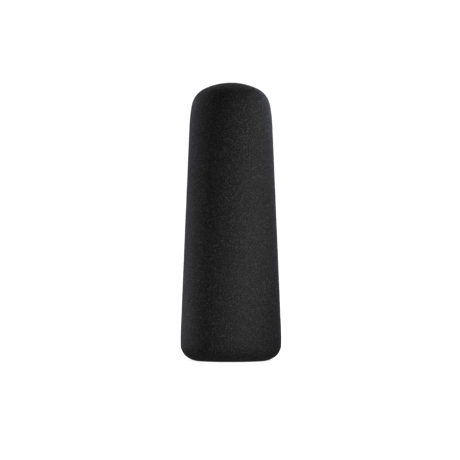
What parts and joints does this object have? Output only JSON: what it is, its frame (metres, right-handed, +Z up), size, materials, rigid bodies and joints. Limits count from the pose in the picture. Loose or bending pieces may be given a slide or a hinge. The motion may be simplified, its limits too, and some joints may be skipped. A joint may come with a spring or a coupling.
{
  "type": "microphone windscreen",
  "caption": "Tapered, domed open-cell foam windscreen that lifts off a grip collar for a slim shotgun microphone tube.",
  "frame": {"origin": "centre of the flat underside, on the axis of the bore", "axes": "+Z up along the bore axis, from the open base to the domed nose; X and Y are free, and the collar's two lugs lie along X"},
  "size_m": [0.0508, 0.0508, 0.14],
  "materials": {
    "foam": "matte open-cell foam",
    "liner_net": "satin extruded net",
    "pad_foam": "matte coarse open-cell foam",
    "socket_plastic": "satin moulded",
    "collar_plastic": "fine spark texture",
    "sleeve_silicone": "soft matte silicone",
    "ring_rubber": "smooth rubber"
  },
  "bodies": {
    "collar": {"base_collar": "collar_plastic", "grip_sleeve": "sleeve_silicone", "retaining_ring": "ring_rubber"},
    "foam": {"foam_body": "foam", "socket_ring": "socket_plastic", "bore_liner": "liner_net", "nose_pad": "pad_foam"}
  },
  "joints": [
    {"name": "foam_lift", "type": "slide", "parent": "collar", "child": "foam", "axis": [0, 0, 1], "range_m": [0, 0.028]}
  ]
}
